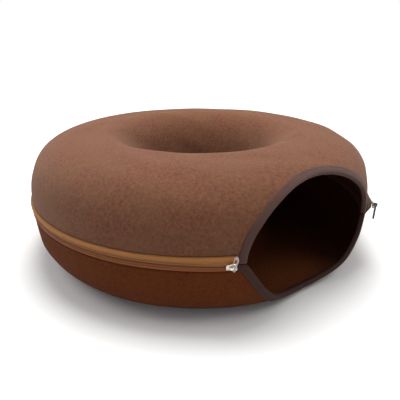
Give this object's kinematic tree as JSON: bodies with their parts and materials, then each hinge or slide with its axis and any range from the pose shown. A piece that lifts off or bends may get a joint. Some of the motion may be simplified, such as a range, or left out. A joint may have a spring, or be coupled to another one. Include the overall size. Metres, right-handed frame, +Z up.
{
  "type": "felt cat tunnel bed",
  "caption": "Hollow ring of thick moulded felt for a cat, with an oval front opening, a well in the middle and a zip round the waist.",
  "frame": {"origin": "on the floor, under the middle of the bounding box", "axes": "+Z up through the well, front opening facing -Y"},
  "size_m": [0.603, 0.5815, 0.206],
  "materials": {
    "felt_upper": "soft heathered felt",
    "felt_lower": "soft heathered felt",
    "zip_tape": "woven tape",
    "binding": "folded woven tape",
    "slider_metal": "worn bright metal"
  },
  "bodies": {
    "root": {"top_shell": "felt_upper", "bottom_shell": "felt_lower", "zip_tape_upper": "zip_tape", "zip_tape_lower": "zip_tape", "upper_binding": "binding", "lower_binding": "binding", "slider_left_body": "slider_metal", "slider_left_pull": "slider_metal", "slider_right_body": "slider_metal", "slider_right_pull": "slider_metal"}
  },
  "joints": []
}
